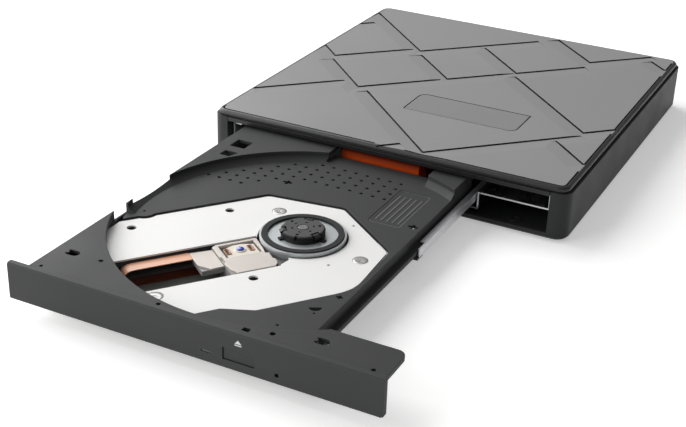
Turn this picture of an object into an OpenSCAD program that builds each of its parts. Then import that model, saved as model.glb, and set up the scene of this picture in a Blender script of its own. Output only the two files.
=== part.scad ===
// External disc drive with its tray pulled out, built as separate pieces.
// Frame: +Z up, the front faces -Y, the origin lies on the desk under the centre of the housing.
// The tray closes along +Y. All lengths are millimetres.

/* [Housing] */
// Room beside the drive's case, out to the shell's outside
side_room = 7.55; // [6.3:0.05:11]
// Room behind the drive's case, out to the shell's back
rear_bay = 15; // [14.5:0.5:25]
// Radius of the housing's corners, seen from above
corner_radius = 5; // [4:0.5:7]
// Thickness of the base shell's walls
side_wall = 2; // [1.6:0.1:2.4]
// Thickness of the base shell's floor
floor_thick = 1.8; // [1.4:0.1:2.4]
// Height of the rubber feet below the base
foot_height = 1; // [0.6:0.1:2]
// Diameter of a rubber foot
foot_diameter = 10; // [8:0.5:12]
// Step from the base shell's edge in to the cover's edge
cover_inset = 1; // [0.6:0.1:1.4]
// Thickness of the cover's top
cover_thick = 1.7; // [1.5:0.1:2.4]
// Depth of the steps in the cover's relief
relief_depth = 0.4; // [0.2:0.05:0.6]
// Width of the sloped strip in front of a relief step
relief_width = 7; // [4:0.5:8]

/* [Drive case] */
// Outer width of the drive's sheet metal case
case_width = 130.4; // [129.8:0.1:131.4]
// Width of the shallow wing on the right of the case
wing_width = 26.7; // [25.5:0.1:28]
// Clear height over the wing
wing_depth = 6; // [5.4:0.1:6.6]
// Sheet thickness of the case's pan
pan_sheet = 0.6; // [0.4:0.05:0.8]
// Sheet thickness of the case's lid
lid_sheet = 0.5; // [0.4:0.05:0.8]

/* [Tray] */
// Diameter of the disc that the recess takes
disc_diameter = 120; // [118:0.5:121]
// Height of the tray from its bottom plate to its top face
tray_height = 11.5; // [11.3:0.1:12.5]
// Depth of the disc recess
recess_depth = 3.2; // [2.8:0.1:3.3]
// Wall thickness of the tray moulding
tray_wall = 1.4; // [1.2:0.1:1.6]
// Distance from the bezel's front to the disc's edge
front_margin = 7.9; // [7.4:0.1:9]
// Distance from the disc's edge to the tray's back end
rear_margin = 8.6; // [8.2:0.1:9.6]
// Depth of the flange behind the bezel's right end
flange_depth = 16.2; // [12:0.2:20]
// Width of the bezel
bezel_width = 129; // [126:0.5:130]
// Height of the bezel
bezel_height = 13; // [12.4:0.1:13.4]
// Thickness of the bezel
bezel_thick = 2.1; // [1.6:0.1:2.6]

/* [Button] */
// Width of the eject button
button_width = 10.2; // [8:0.2:12]
// Height of the eject button
button_height = 3.7; // [3:0.1:4.4]
// Travel of the eject button
button_travel = 0.6; // [0.3:0.1:0.8]

/* [Rails] */
// Length of a slide rail
rail_length = 108; // [90:1:115]
// How far a rail stands out of the housing when the tray is out
rail_reach = 46.5; // [40:0.5:52]
// Sheet thickness of a slide rail
rail_sheet = 0.5; // [0.4:0.05:0.6]

/* [Mechanism] */
// Radius of the turntable
turntable_radius = 14.5; // [13.6:0.1:14.8]
// Radius of the clamping hub
hub_radius = 7.4; // [7.2:0.05:7.45]
// How far a claw stands out of the hub
claw_reach = 0.45; // [0.2:0.05:0.6]
// Travel of the pickup along its rods
sled_travel = 33; // [28:0.5:34]
// Radius of a guide rod
rod_radius = 1; // [0.8:0.05:1.1]

/* [Hidden] */
$fn = 64;
// Overshoot of a cut beyond the face that it opens
over = 1;

// Heights, from the desk up
pan_pad = 1.2;
tray_gap = 0.6;
lid_gap = 0.3;
cover_gap = 1.9;
part_drop = 0.4;
skin = 1.2;
bottom_sheet = 0.4;
plate_sheet = 0.6;
z_base = foot_height;
z_floor = z_base + floor_thick;
z_pan = z_floor + pan_pad;
z_bay = z_pan + pan_sheet;
z_tray = z_bay + tray_gap;
z_under = z_tray + bottom_sheet;
z_top = z_tray + tray_height;
z_lid = z_top + lid_gap;
z_lid_top = z_lid + lid_sheet;
z_ceiling = z_lid_top + cover_gap;
z_cover = z_ceiling + cover_thick;
z_part = z_ceiling - part_drop;
z_wing = z_lid - wing_depth;
z_recess = z_top - recess_depth;
z_plate = z_recess - 0.5;
z_seat = z_plate - plate_sheet;
z_frame = z_seat - 0.5;
frame_thick = 1.5;
z_frame_low = z_frame - frame_thick;
z_ring = z_recess + 1.1;
z_dish = z_ring - 0.8;
z_hub = z_top - 0.1;
z_rod = z_under + 2.6;
bezel_rise = 0.4;
z_bezel_high = z_top + bezel_rise;
z_bezel_low = z_bezel_high - bezel_height;
mouth_gap = 0.4;
z_mouth = z_bezel_high + mouth_gap;
lip_gap = 0.9;
z_lip = max(z_floor, z_bezel_low - lip_gap);

// Slide rails and runners, measured out from the tray's sides
runner_reach = 2.3;
runner_half = 0.8;
run_gap = 0.3;
slide_gap = 0.2;
rail_in = runner_reach + run_gap;
rail_out = rail_in + rail_sheet;
rail_half = runner_half + run_gap + rail_sheet;
rail_edge = 0.9;
rail_step = 5.4;
guide_in = rail_out + slide_gap;
guide_web = 0.3;
left_web = 3.3;
z_rail = z_tray + 3.6;

// Widths
base_width = case_width + 2 * side_room;
case_half = case_width / 2;
mouth_side = 0.6;
mouth_half = case_half + mouth_side;
step_x = case_half - wing_width;
tray_right = step_x - pan_sheet - guide_web - guide_in;
tray_left = -case_half + pan_sheet + left_web + guide_in;
flange_gap = 0.5;
flange_right = case_half - pan_sheet - flange_gap;
flange_thick = 1.5;
flange_round = 3;

// Places along the drive
disc_radius = disc_diameter / 2;
disc_clear = 2.5;
case_setback = 3.5;
rear_room = 3.4;
spindle_back = front_margin + disc_radius;
tray_stroke = spindle_back + disc_radius + disc_clear;
tray_length = spindle_back + disc_radius + rear_margin;
base_depth = tray_length + rear_room + pan_sheet + rear_bay;
front_y = -base_depth / 2;
back_y = base_depth / 2;
case_y = front_y + case_setback;
bezel_y = front_y - tray_stroke;
tray_y = bezel_y + bezel_thick;
tray_end = bezel_y + tray_length;
spindle_x = 2.2;
spindle_y = bezel_y + spindle_back;
case_end = front_y + tray_length + rear_room;
case_back = case_end + pan_sheet;
rail_y = front_y - rail_reach;
clip_length = 3;
clip_nose = 1.4;
clip_sheet = 0.4;
guide_y = rail_y + tray_stroke / 2 + clip_length + 0.6;
guide_length = 80;

// Disc recess: a sloped foot round the floor, flared towards the front
recess_radius = disc_radius + 1.2;
recess_flare = disc_radius + 4;
flare_from = 15;
foot_run = 2.7;
foot_rise = 1.5;

// Mechanism, turned about the spindle; its own X runs inwards along the pickup's path
traverse_angle = 52;
slot_high = 6.4;
slot_low = -15.4;
slot_end = -14;
plate_high = 32.5;
plate_low = -38;
plate_low_front = -33;
plate_end = 21;
plate_round = 3;
plate_gap = 0.8;
plate_side = 0.6;
plate_under = 0.8;
plate_side_round = 16;
plate_right = tray_right - tray_wall - plate_side;
scallop = [-43.1, 36.3];
scallop_radius = 4.8;
rod_high = 8.6;
rod_low = -16.2;
sled_back = -30;
holder = 2.2;
rod_from = sled_back - sled_travel - holder - 0.8;
rod_to = -13.8;
screw_line = 15;
screw_radius = 1.1;
plate_screw_places = [[0, 20.4], [10.8, -21.6], [-56.6, -19]];
damper_places = [[-50.4, 26.9], [-15.6, 27.2], [-25.1, -19.6]];
damper_radius = 2;
stud_radius = 0.9;
shaft_radius = 1;
cap_radius = 1.65;
cap_thick = 0.3;
hub_turn = 47;
hub_bevel = 0.6;
claw_width = 2.2;
claw_from = 4.2;
claw_open = 5.4;
claw_roof = 0.4;
motor_length = 8.4;
motor_face = rod_from + motor_length;
motor_radius = 2.1;
motor_flange = 0.6;
lens_place = -22.1;
run_fit = 0.05;

// Relief of the cover: places of the V corners from the cover's front edge, with both arm lengths
relief_corners = [[-35, 51, 34, 36], [-60.5, 79.5, 15, 36], [-31, 104.5, 55, 57], [-7, 78.5, 30, 30],
    [15, 4, 63, 64], [15.5, 100.5, 33, 32], [38.5, 130.5, 30, 30], [60.5, 52.5, 62, 13.8]];
relief_rising = [[-71, 27, 39], [-3.5, -1, 11], [-71, 124.2, 7]];
relief_falling = [[70.2, 23.5, 23], [70.2, 137.5, 12]];
// Windows of the line beside the cover's edge: near left and far right corner
border_windows = [[[-base_width, -over], [-3.6, 5]], [[8.5, -over], [base_width, 16.8]],
    [[60, 23.5], [base_width, 57]], [[60, 62.2], [base_width, 129.2]], [[60, 137.5], [base_width, 148]]];
edge_margin = 1.5;
line_width = 0.6;
line_depth = relief_depth + 0.4;

// Small plate in the cover
badge_size = [46, 17.6];
badge_place = [14.2, 48];
badge_round = 3;
badge_thick = 0.8;
badge_gap = 0.5;

// Housing details
base_bevel = 0.8;
foot_pocket = 0.4;
foot_margin = 16.5;
cover_wall = 2.4;
lap_gap = 0.15;
lap_depth = 1.6;
post_depth = 6;
peg_radius = 1.2;
boss_radius = 3.2;
z_boss = z_floor + 8.2;
boss_x = base_width / 2 - side_wall - 8.75;
boss_y = back_y - side_wall - 6.25;
wing_stud = [step_x + 13.5, front_y + 5.8];
case_seat_x = [-50, 25];
case_seat_y = [case_y + 24, case_y + 104];
usb_size = [9, 3.3];
usb_length = 7.4;
usb_x = -26;
usb_recess = 0.5;

// Boards
board_thick = 1;
board_lift = 1;
z_board = z_bay + board_lift + board_thick;
board_depth = 25;
board_x = [-52, 30];
plug_x = [-5, 28];
plug_height = 3;
mate_y = case_back + 3.3;
bridge_half = 40;
z_bridge = z_floor + 2.8 + board_thick;
bay_clear = 4.4;

// Flat cables
flex_thick = 0.25;
flex_x = [-17, 15];
flex_slot = [1.5, 6.5];
arch_y = spindle_y + recess_radius + skin;
tray_plug_y = arch_y + 1.6;
window_y = spindle_y + recess_radius - foot_run - 3;
pickup_flex_y = [1.2, 5.8];

// Latch and ejector
latch_x = tray_right - 11.8;
latch_y = bezel_y + 18.6;
latch_pin_radius = 0.8;
latch_low = 0.4;
latch_thick = 1.6;
post_x = tray_right - 3.7;
post_back = latch_y + 11.5;
post_radius = 1;
latch_cut = [tray_right - 14.8, latch_y - 3.6];
ejector_x = -40;
ejector_travel = 10;
ejector_radius = 1.9;
ejector_bore = 2.05;
ejector_wall = 1.05;
z_ejector = z_top - 4.8;
ejector_side = ejector_x - ejector_bore - ejector_wall - spindle_x;
ejector_y = spindle_y + sqrt(pow(recess_radius + skin, 2) - pow(ejector_side, 2)) + 1;
ejector_tip = tray_end + rear_room - 0.2 + ejector_travel;
ejector_inside = 6;

// Screws that hold the tray's bottom plate
bottom_screw_places = [[tray_left + 5, tray_y + 6], [tray_left + 5, tray_end - 38],
    [tray_right - 26, tray_y + 5], [tray_right - 19, tray_end - 36]];

// Bezel details
button_x = tray_right - 15.7;
z_button = z_bezel_low + 5.2;
button_gap = 0.2;
button_sunk = 0.35;
lamp_x = tray_right - 26.6;
z_lamp = z_bezel_low + 3.9;
lamp_size = [3.2, 0.6];
release_x = tray_right - 3.1;
z_release = z_bezel_low + 3.3;
release_radius = 0.7;

// Block between two opposite corners
module span(a, b) {
    translate(a) cube(b - a);
}

module rounded_rect(w, d, r) {
    if (w > 2 * r) square([w - 2 * r, d], center = true);
    if (d > 2 * r) square([w, d - 2 * r], center = true);
    for (x = [-1, 1], y = [-1, 1])
        translate([x * (w / 2 - r), y * (d / 2 - r)]) circle(r = r);
}

// Block with rounded corners whose edge follows a profile of [distance out from the corner's centre, height]
module profiled_block(w, d, r, profile) {
    x = w / 2 - r;
    y = d / 2 - r;
    low = min([for (p = profile) p[1]]);
    high = max([for (p = profile) p[1]]);
    span([-x, -y, low], [x, y, high]);
    for (s = [0, 180]) rotate(s) {
        translate([x, y, 0]) rotate([90, 0, 0]) linear_extrude(2 * y) polygon(profile);
        translate([-x, y, 0]) rotate([90, 0, 90]) linear_extrude(2 * x) polygon(profile);
        translate([x, y, 0]) rotate_extrude(angle = 90) polygon(profile);
        translate([-x, y, 0]) rotate(90) rotate_extrude(angle = 90) polygon(profile);
    }
}

// Cylinder along X, from one place to another
module bar_x(from, to, y, z, r) {
    translate([from, y, z]) rotate([0, 90, 0]) cylinder(r = r, h = to - from);
}

// Cylinder along Y, from one place to another
module bar_y(x, from, to, z, r) {
    translate([x, to, z]) rotate([90, 0, 0]) cylinder(r = r, h = to - from);
}

// Cylinder along Z, from one height to another
module bar_z(x, y, from, to, r) {
    translate([x, y, from]) cylinder(r = r, h = to - from);
}

// Screw with its head down
module screw(x, y, head_z, tip_z, shank, head, head_thick) {
    bar_z(x, y, head_z, head_z + head_thick, head);
    bar_z(x, y, head_z + head_thick, tip_z, shank);
}

// Coil of round wire that climbs along +Z
module coil(r, wire, turns, height) {
    steps = 10;
    sides = 6;
    count = round(turns * steps);
    points = [for (i = [0 : count], j = [0 : sides - 1])
        let (a = 360 * i / steps, b = 360 * j / sides, q = r + wire * cos(b))
        [q * cos(a), q * sin(a), height * i / count + wire * sin(b)]];
    walls = [for (i = [0 : count - 1], j = [0 : sides - 1], half = [0, 1])
        let (k = (j + 1) % sides, a = i * sides + j, b = i * sides + k)
        half == 0 ? [a, a + sides, b] : [b, a + sides, b + sides]];
    ends = [for (j = [1 : sides - 2], half = [0, 1])
        half == 0 ? [0, j, j + 1] : [count * sides, count * sides + j + 1, count * sides + j]];
    polyhedron(points, concat(walls, ends));
}

// Point on a smooth curve between two ends, pulled by two handles
function curve(p, t) = pow(1 - t, 3) * p[0] + 3 * pow(1 - t, 2) * t * p[1]
    + 3 * (1 - t) * t * t * p[2] + pow(t, 3) * p[3];

// Outline of a thin strip along a row of points
function along(p, i) = let (v = p[min(i + 1, len(p) - 1)] - p[max(i - 1, 0)]) v / norm(v);
function strip_side(p, d) = [for (i = [0 : len(p) - 1]) p[i] + d * [-along(p, i)[1], along(p, i)[0]]];
function reversed(p) = [for (i = [len(p) - 1 : -1 : 0]) p[i]];
function strip(p, t) = concat(strip_side(p, t / 2), reversed(strip_side(p, -t / 2)));

// Place of the mechanism's own frame
module at_spindle() {
    translate([spindle_x, spindle_y, 0]) rotate(traverse_angle) children();
}

// Place of a tray side: X points outwards from it
module at_side(side) {
    if (side > 0) translate([tray_right, 0, z_rail]) children();
    else translate([tray_left, 0, z_rail]) mirror([1, 0, 0]) children();
}

// Housing

// Line and sloped strip beside a straight step of the relief, running along +X with the line at Y = 0
module relief_strip(length) {
    translate([0, 0, z_cover]) rotate([90, 0, 90]) linear_extrude(length)
        polygon([[0, over], [0, -line_depth], [-line_width, -line_depth],
            [-line_width, -relief_depth * (1 - line_width / relief_width)], [-relief_width, 0],
            [-relief_width, over]]);
}

// Line beside the cover's edge, open where the panels run out
module border_line() {
    w = base_width - 2 * (cover_inset + edge_margin);
    d = base_depth - 2 * (cover_inset + edge_margin);
    r = corner_radius - cover_inset - edge_margin;
    translate([0, 0, z_cover - line_depth]) linear_extrude(line_depth + over) intersection() {
        difference() {
            rounded_rect(w, d, r);
            rounded_rect(w - 2 * line_width, d - 2 * line_width, r - line_width);
        }
        translate([0, front_y + cover_inset])
            for (c = border_windows) translate(c[0]) square(c[1] - c[0]);
    }
}

module relief_cut() {
    border_line();
    translate([0, front_y + cover_inset, 0]) {
        for (c = relief_corners) translate([c[0], c[1], 0]) {
            rotate(45) relief_strip(c[3]);
            mirror([1, 0, 0]) rotate(45) relief_strip(c[2]);
            intersection() {
                rotate(45) translate([-relief_width, 0, 0]) relief_strip(relief_width);
                mirror([1, 0, 0]) rotate(45) translate([-relief_width, 0, 0]) relief_strip(relief_width);
            }
        }
        for (c = relief_rising) translate([c[0], c[1], 0]) rotate(45) relief_strip(c[2]);
        for (c = relief_falling) translate([c[0], c[1], 0]) mirror([1, 0, 0]) rotate(45) relief_strip(c[2]);
    }
}

module badge_outline(grow) {
    w = badge_size[0] + 2 * grow;
    d = badge_size[1] + 2 * grow;
    r = badge_round + grow;
    translate([badge_place[0], front_y + cover_inset + badge_place[1]]) {
        rounded_rect(w, d, r);
        translate([-w / 2, -d / 2]) square(r);
        translate([w / 2 - r, d / 2 - r]) square(r);
    }
}

module base_shell() color("#2e2e30") difference() {
    union() {
        difference() {
            profiled_block(base_width, base_depth, corner_radius, [[0, z_base],
                [corner_radius - base_bevel, z_base], [corner_radius, z_base + base_bevel],
                [corner_radius, z_part], [0, z_part]]);
            translate([0, 0, z_floor]) linear_extrude(z_part)
                rounded_rect(base_width - 2 * side_wall, base_depth - 2 * side_wall,
                    corner_radius - side_wall);
        }
        for (s = [-1, 1]) translate([0, 0, z_base + base_bevel]) linear_extrude(z_part - z_base - base_bevel)
            intersection() {
                rounded_rect(base_width, base_depth, corner_radius);
                translate([s > 0 ? mouth_half : -base_width / 2, front_y])
                    square([base_width / 2 - mouth_half, post_depth]);
            }
        for (x = case_seat_x, y = case_seat_y) bar_z(x, y, z_floor, z_pan, 4);
        bar_z(wing_stud[0], wing_stud[1], z_base, z_lip, 2.5);
        for (x = [-1, 1]) {
            bar_z(x * (bridge_half - 4), mate_y + 2.6, z_floor, z_bridge - board_thick, 2.2);
            bar_z(x * boss_x, boss_y, z_floor, z_boss, boss_radius);
        }
    }
    span([-mouth_half, front_y - over, z_lip], [mouth_half, front_y + post_depth, z_part + over]);
    bar_z(wing_stud[0], wing_stud[1], z_floor, z_lip + over, 0.9);
    for (x = case_seat_x, y = case_seat_y) {
        bar_z(x, y, z_base - over, z_base + 1.2, 2.4);
        bar_z(x, y, z_base, z_pan + over, 1.2);
    }
    for (x = [-1, 1]) {
        bar_z(x * boss_x, boss_y, z_base - over, z_base + 2, 2.4);
        bar_z(x * boss_x, boss_y, z_base, z_boss + over, 1.2);
        bar_z(x * (mouth_half + 2.2), front_y + 4, z_part - 5, z_part + over, peg_radius + 0.1);
        for (y = [-1, 1])
            bar_z(x * (base_width / 2 - foot_margin), y * (base_depth / 2 - foot_margin), z_base - over,
                z_base + foot_pocket, foot_diameter / 2);
    }
    translate([usb_x, back_y + over, z_bridge + usb_size[1] / 2]) rotate([90, 0, 0])
        linear_extrude(side_wall + 2 * over)
            rounded_rect(usb_size[0] + 0.4, usb_size[1] + 0.4, usb_size[1] / 2);
}

module top_cover() color("#5a5a5d") {
    w = base_width - 2 * cover_inset;
    d = base_depth - 2 * cover_inset;
    r = corner_radius - cover_inset;
    edge = 1.2;
    groove = 0.4;
    lap = side_wall + lap_gap;
    inner = cover_inset + cover_wall;
    band_gap = 0.3;
    band_half = mouth_half - band_gap;
    band_depth = 3;
    difference() {
        union() {
            difference() {
                profiled_block(w, d, r, concat([[0, z_part], [r - groove, z_part],
                    [r - groove, z_part + groove], [r, z_part + groove]],
                    [for (a = [0 : 22.5 : 90]) [r - edge + edge * cos(a), z_cover - edge + edge * sin(a)]],
                    [[0, z_cover]]));
                translate([0, 0, z_part - over]) linear_extrude(z_ceiling - z_part + over)
                    rounded_rect(base_width - 2 * inner, base_depth - 2 * inner, corner_radius - inner + 1);
            }
            difference() {
                translate([0, 0, z_part - lap_depth]) linear_extrude(lap_depth + groove) difference() {
                    rounded_rect(base_width - 2 * lap, base_depth - 2 * lap, corner_radius - lap);
                    rounded_rect(base_width - 2 * inner, base_depth - 2 * inner, corner_radius - inner + 1);
                }
                span([-base_width, front_y, z_part - 2 * lap_depth],
                    [base_width, front_y + post_depth + 0.3, z_part]);
            }
            span([-band_half, front_y, z_mouth], [band_half, front_y + band_depth, z_part]);
            span([-band_half, front_y + cover_inset + groove, z_mouth],
                [band_half, front_y + band_depth, z_part + groove]);
            for (x = [-1, 1]) {
                bar_z(x * boss_x, boss_y, z_boss, z_ceiling + 0.5, boss_radius);
                bar_z(x * (mouth_half + 2.2), front_y + 4, z_part - 4, z_ceiling + 0.5, peg_radius);
            }
        }
        relief_cut();
        translate([0, 0, z_cover - badge_thick]) linear_extrude(over + badge_thick) badge_outline(badge_gap);
        for (x = [-1, 1]) bar_z(x * boss_x, boss_y, z_boss - over, z_boss + 6, 0.95);
    }
}

module badge_plate() color("#4c4c4f")
    translate([0, 0, z_cover - badge_thick]) linear_extrude(badge_thick) badge_outline(0);

module rubber_feet() color("#1c1c1c")
    for (x = [-1, 1], y = [-1, 1])
        bar_z(x * (base_width / 2 - foot_margin), y * (base_depth / 2 - foot_margin), 0,
            foot_height + foot_pocket, foot_diameter / 2);

module cover_screws() color("#9a9a9c")
    for (x = [-1, 1]) screw(x * boss_x, boss_y, z_base + 0.4, z_boss + 5, 0.95, 2.2, 1.6);

// Drive case

module case_pan() color("#c8cacd") difference() {
    union() {
        translate([0, case_back, 0]) rotate([90, 0, 0]) linear_extrude(case_back - case_y)
            polygon([[-case_half, z_lid], [-case_half, z_pan], [step_x, z_pan], [step_x, z_wing - pan_sheet],
                [case_half, z_wing - pan_sheet], [case_half, z_lid], [case_half - pan_sheet, z_lid],
                [case_half - pan_sheet, z_wing], [step_x - pan_sheet, z_wing], [step_x - pan_sheet, z_bay],
                [-case_half + pan_sheet, z_bay], [-case_half + pan_sheet, z_lid]]);
        translate([0, case_back, 0]) rotate([90, 0, 0]) linear_extrude(pan_sheet)
            polygon([[-case_half, z_lid], [-case_half, z_pan], [step_x, z_pan], [step_x, z_wing - pan_sheet],
                [case_half, z_wing - pan_sheet], [case_half, z_lid]]);
        span([-case_half, case_y, z_lid - 1.6], [-case_half + 3.7, case_y + 2, z_lid - 1.6 + pan_sheet]);
        for (x = [board_x[0] + 4, board_x[1] - 4], y = [case_end - 4, case_end - board_depth + 4])
            bar_z(x, y, z_bay - pan_sheet / 2, z_board - board_thick, 2);
    }
    span([plug_x[0] - 0.3, case_end - over, z_board - 0.3],
        [plug_x[1] + 0.3, case_back + over, z_board + plug_height + 0.3]);
    for (x = case_seat_x, y = case_seat_y) bar_z(x, y, z_pan - over, z_bay + over, 1.15);
    for (y = [case_y + 20, case_back - 20])
        bar_x(-case_half - over, case_half + over, y, z_lid - 2.2, 0.85);
}

module case_lid() color("#b9bcc0") difference() {
    union() {
        span([-case_half, case_y, z_lid], [case_half, case_back, z_lid_top]);
        for (s = [-1, 1]) {
            from = s > 0 ? case_half : -case_half - 0.05 - lid_sheet;
            skirt = s > 0 ? case_half + 0.05 : -case_half - 0.05 - lid_sheet;
            span([from, case_y + post_depth, z_lid], [from + 0.05 + lid_sheet, case_back, z_lid_top]);
            span([skirt, case_y + post_depth, z_lid - 4], [skirt + lid_sheet, case_back, z_lid_top]);
        }
    }
    for (y = [case_y + 20, case_back - 20])
        bar_x(-base_width / 2, base_width / 2, y, z_lid - 2.2, 0.85);
}

module lid_screws() color("#88898c")
    for (s = [0, 180], y = [case_y + 20, case_back - 20]) translate([0, y, z_lid - 2.2]) rotate(s) {
        bar_x(case_half - pan_sheet, case_half + 0.05 + lid_sheet, 0, 0, 0.8);
        bar_x(case_half + 0.05 + lid_sheet, case_half + 0.65 + lid_sheet, 0, 0, 1.5);
    }

module case_screws() color("#9a9a9c")
    for (x = case_seat_x, y = case_seat_y) screw(x, y, z_base + 0.1, z_bay, 1.1, 2.2, 1.1);

module rail_guide(side, web) at_side(side) {
    lip = 1;
    out = guide_in + web;
    gap = rail_half + slide_gap;
    translate([0, guide_y, 0]) {
        span([guide_in, 0, z_bay - z_rail], [out, guide_length, gap + lip]);
        span([1.3, 0, gap], [out, guide_length, gap + lip]);
        span([1.3, 0, z_bay - z_rail], [out, guide_length, -gap]);
    }
}

module rail_guide_left() color("#26262a") rail_guide(-1, left_web);

module rail_guide_right() color("#26262a") rail_guide(1, guide_web);

module latch_post() color("#8d8f92")
    bar_z(post_x, post_back + tray_stroke, z_bay, z_bay + 2.9, post_radius);

// Boards

module drive_board() color("#1f5a37") {
    span([board_x[0], case_end - board_depth, z_board - board_thick], [board_x[1], case_end - 0.3, z_board]);
    span([-46, case_end - 19, z_board], [-32, case_end - 8, z_board + 1.1]);
    span([-26, case_end - 18, z_board], [-14, case_end - 9, z_board + 1]);
}

module flex_connector() color("#efe9da")
    span([flex_x[0] - 1, case_end - board_depth, z_board],
        [flex_x[1] + 1, case_end - board_depth + 4, z_board + 1.4]);

module data_plug() color("#1d1d1f")
    span([plug_x[0], case_end - 2.8, z_board], [plug_x[1], mate_y, z_board + plug_height]);

module bridge_board() color("#1f5a37")
    span([-bridge_half, mate_y + 0.2, z_bridge - board_thick],
        [bridge_half, back_y - side_wall - 0.3, z_bridge]);

module data_socket() color("#1d1d1f")
    span([plug_x[0], mate_y, z_bridge], [plug_x[1], mate_y + 5.4, z_board + plug_height + 0.4]);

module usb_socket() color("#c4c6c9")
    translate([usb_x, back_y - usb_recess, z_bridge + usb_size[1] / 2]) rotate([90, 0, 0]) {
        linear_extrude(usb_length) difference() {
            rounded_rect(usb_size[0], usb_size[1], usb_size[1] / 2);
            rounded_rect(usb_size[0] - 0.7, usb_size[1] - 0.7, usb_size[1] / 2 - 0.35);
        }
        translate([0, 0, usb_length - 1]) linear_extrude(1)
            rounded_rect(usb_size[0] - 0.7, usb_size[1] - 0.7, usb_size[1] / 2 - 0.35);
        translate([-3.3, -0.35, 1]) cube([6.6, 0.7, usb_length - 1]);
    }

// Wide flat cable: along the pan's floor, up in an arch behind the recess, down to the tray's connector
module main_flex() color("#c85a1e") {
    low = z_bay + 0.2;
    plug = [case_end - board_depth - 0.05, z_board + 0.7];
    crest = [tray_plug_y + 3.2, z_top - 0.5];
    foot = [tray_plug_y + 14, low];
    path = concat(
        [for (i = [0 : 6]) curve([plug, plug + [-4, 0], [plug[0] - 5, low], [plug[0] - 9, low]], i / 6)],
        [for (i = [0 : 12]) curve([foot, foot + [-7, 0], crest + [3.8, 0], crest], i / 12)],
        [for (i = [1 : 10]) curve([crest, crest - [2.6, 0], [tray_plug_y + 0.4, z_frame + 2],
            [tray_plug_y + 0.3, z_frame - 1]], i / 10)]);
    translate([flex_x[0], 0, 0]) rotate([90, 0, 90]) linear_extrude(flex_x[1] - flex_x[0])
        polygon(strip(path, flex_thick));
}

// Slide rails

module rail(side) at_side(side) translate([0, rail_y, 0]) difference() {
    span([rail_edge, 0, -rail_half], [rail_out, rail_length, rail_half]);
    span([rail_edge - over, -over, -rail_half + rail_sheet],
        [rail_in, rail_length + over, rail_half - rail_sheet]);
    span([rail_edge - over, -over, 0], [rail_in, rail_step, rail_half + over]);
}

// End stop in front of a rail's lower flange, with a grip under it
module rail_clip(side) at_side(side) translate([0, rail_y, 0]) {
    low = -rail_half - clip_sheet;
    span([rail_edge, -clip_nose, low], [rail_out, 0, -rail_half + rail_sheet]);
    span([rail_edge, -clip_nose, low], [rail_out, clip_length, -rail_half]);
}

module rail_left() color("#d5d7da") rail(-1);

module rail_right() color("#d5d7da") rail(1);

module rail_clip_left() color("#1d1d1f") rail_clip(-1);

module rail_clip_right() color("#1d1d1f") rail_clip(1);

// Tray

// Space of the disc recess, or of the skin round it when grown and dropped
module recess_space(grow, drop) {
    translate([spindle_x, spindle_y, 0]) {
        translate([0, 0, z_recess - drop])
            cylinder(r1 = recess_radius - foot_run + grow, r2 = recess_radius + grow, h = foot_rise);
        bar_z(0, 0, z_recess - drop + foot_rise, z_top + over, recess_radius + grow);
        intersection() {
            bar_z(0, 0, z_recess - drop, z_top + over, recess_flare + grow);
            span([-base_width, -base_depth, 0], [base_width, -flare_from, z_cover]);
        }
    }
}

function plate_corner_list(g) = [[-40, plate_high + g], [1 + 0.41 * g, plate_high + g],
    [plate_end + g, 13 + 0.41 * g], [plate_end + g, -20 - 0.41 * g], [-31, plate_low - g],
    [-40, plate_low_front - 0.3 - g]];

// Centre of the plate's large round corner, which meets its low edge and the tray's right side
function side_corner(r) = let (y = plate_low + r)
    [(plate_right - spindle_x - r + y * sin(traverse_angle)) / cos(traverse_angle), y];

module plate_outline(g) {
    difference() {
        intersection() {
            union() {
                hull() {
                    for (p = plate_corner_list(g - plate_round))
                        translate(p) circle(r = plate_round, $fn = 48);
                    translate(side_corner(plate_side_round)) circle(r = plate_side_round + g);
                }
                translate([-base_width, plate_low_front - g])
                    square([base_width - 20, plate_high - plate_low_front + 2 * g]);
            }
            circle(r = recess_flare + plate_under + g);
        }
        translate(scallop) circle(r = scallop_radius - g);
    }
}

module cross_slot(x, y, w) {
    translate([spindle_x + x, spindle_y + y, z_recess - 2 * skin]) linear_extrude(3 * skin) {
        square([w, 0.36 * w], center = true);
        square([0.36 * w, 0.83 * w], center = true);
    }
}

// Slot with a small round tab at its left end
module long_slot(x, y) {
    w = 5;
    r = 1.6;
    tab = 0.8;
    translate([x, bezel_y + y, z_top - 2 * skin]) linear_extrude(3 * skin) difference() {
        rounded_rect(w, 2 * r, r);
        translate([tab / 2 - w / 2, 0]) circle(r = tab);
    }
}

// Pocket at the left end of the sloped foot, open downwards
module end_pocket() {
    x = tray_left + tray_wall / 2;
    y = spindle_y - flare_from;
    translate([0, 0, z_under]) linear_extrude(z_recess + foot_rise - z_under)
        polygon([[x, y], [x + 1, y - 4.2], [x + 2.6, y - 5.8], [x, y - 7.6]]);
}

module perforation() {
    pitch = [4.55, 4.73];
    first = [-52.3, 24.3];
    hole = 0.7;
    clear = [38, 62];
    for (i = [0 : 14], j = [0 : 6]) {
        x = first[0] + i * pitch[0];
        y = first[1] + j * pitch[1];
        if (norm([x, y]) < recess_radius - foot_run - hole && (y > clear[0] || x < y - clear[1]))
            bar_z(spindle_x + x, spindle_y + y, z_recess - 2 * skin, z_recess + over, hole);
    }
}

module button_place() {
    translate([button_x, tray_y, z_button]) children();
}

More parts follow.
